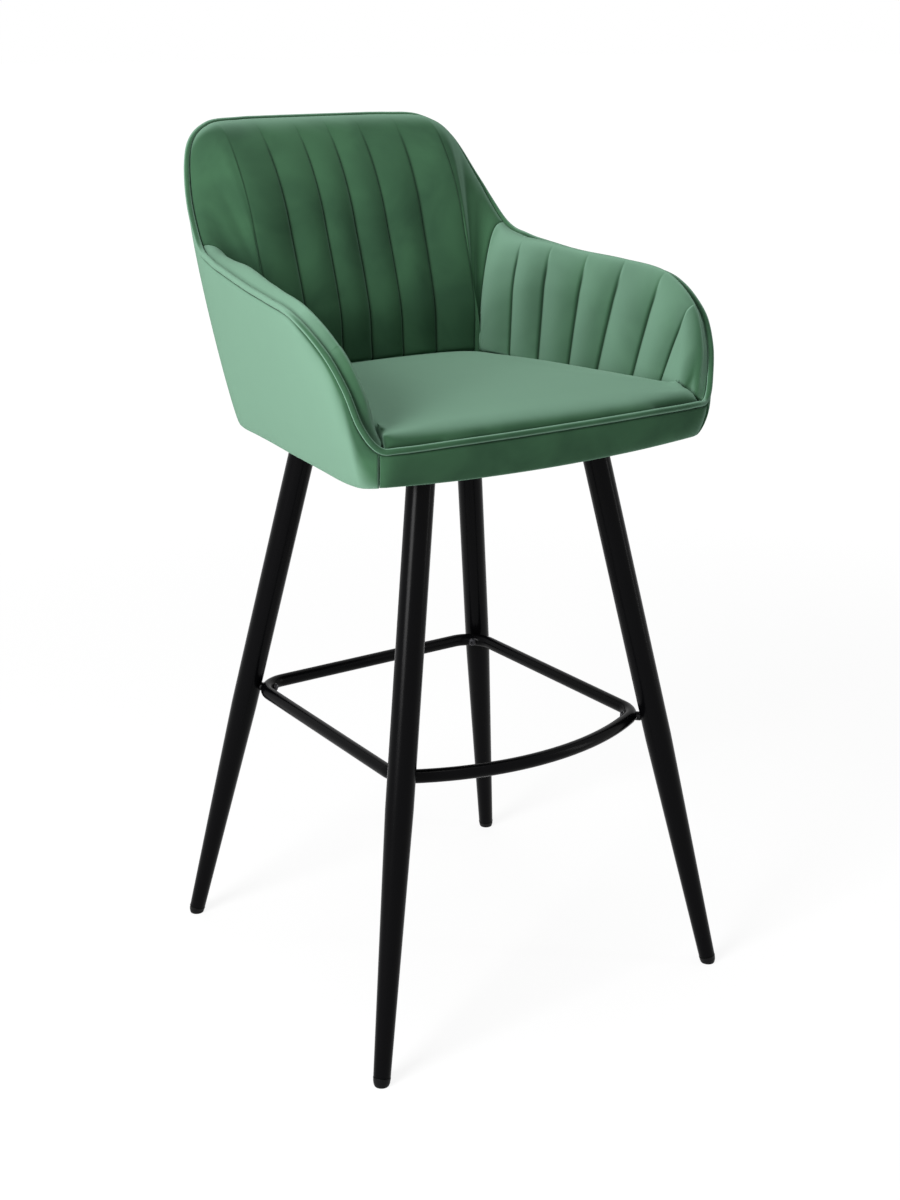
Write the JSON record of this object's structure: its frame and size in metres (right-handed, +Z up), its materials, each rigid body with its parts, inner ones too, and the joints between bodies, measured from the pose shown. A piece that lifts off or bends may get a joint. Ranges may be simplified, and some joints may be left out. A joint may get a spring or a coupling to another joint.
{
  "type": "bar stool",
  "caption": "Upholstered bar stool: padded tub seat with arms and a channelled back, on splayed tapered tube legs joined by a bent tube footrest ring.",
  "frame": {"origin": "on the floor, under the middle of the stool's box", "axes": "+Z up, +X to the right seen from the front, the sitter faces -Y"},
  "size_m": [0.5184, 0.5506, 1.0215],
  "materials": {
    "velvet": "short pile velvet, mid green, with a directional nap",
    "powder_coat": "satin black powder coat",
    "plywood": "bare birch plywood",
    "plastic": "moulded, matte black",
    "cloth": "black non-woven cloth",
    "zinc": "zinc plated",
    "black_steel": "black oxide, satin"
  },
  "bodies": {
    "root": {"outer_cover": "velvet", "tub_board": "plywood", "back_cushion": "velvet", "arm_cushion_left": "velvet", "arm_cushion_right": "velvet", "seat_cushion": "velvet", "front_apron": "velvet", "rim_piping": "velvet", "seat_board": "plywood", "bottom_cloth": "cloth", "leg_front_left": "powder_coat", "leg_front_right": "powder_coat", "leg_back_left": "powder_coat", "leg_back_right": "powder_coat", "glide_front_left": "plastic", "glide_front_right": "plastic", "glide_back_left": "plastic", "glide_back_right": "plastic", "footrest": "powder_coat", "footrest_spacer_front_left": "plastic", "footrest_spacer_front_right": "plastic", "footrest_spacer_back_left": "plastic", "footrest_spacer_back_right": "plastic", "footrest_screw_front_left": "black_steel", "footrest_screw_front_right": "black_steel", "footrest_screw_back_left": "black_steel", "footrest_screw_back_right": "black_steel", "leg_insert_front_left": "zinc", "leg_insert_front_right": "zinc", "leg_insert_back_left": "zinc", "leg_insert_back_right": "zinc", "leg_bolt_front_left_1": "black_steel", "leg_bolt_front_left_2": "black_steel", "leg_bolt_front_left_3": "black_steel", "leg_bolt_front_right_1": "black_steel", "leg_bolt_front_right_2": "black_steel", "leg_bolt_front_right_3": "black_steel", "leg_bolt_back_left_1": "black_steel", "leg_bolt_back_left_2": "black_steel", "leg_bolt_back_left_3": "black_steel", "leg_bolt_back_right_1": "black_steel", "leg_bolt_back_right_2": "black_steel", "leg_bolt_back_right_3": "black_steel", "t_nut_front_left_1": "zinc", "t_nut_front_left_2": "zinc", "t_nut_front_left_3": "zinc", "t_nut_front_right_1": "zinc", "t_nut_front_right_2": "zinc", "t_nut_front_right_3": "zinc", "t_nut_back_left_1": "zinc", "t_nut_back_left_2": "zinc", "t_nut_back_left_3": "zinc", "t_nut_back_right_1": "zinc", "t_nut_back_right_2": "zinc", "t_nut_back_right_3": "zinc"}
  },
  "joints": []
}
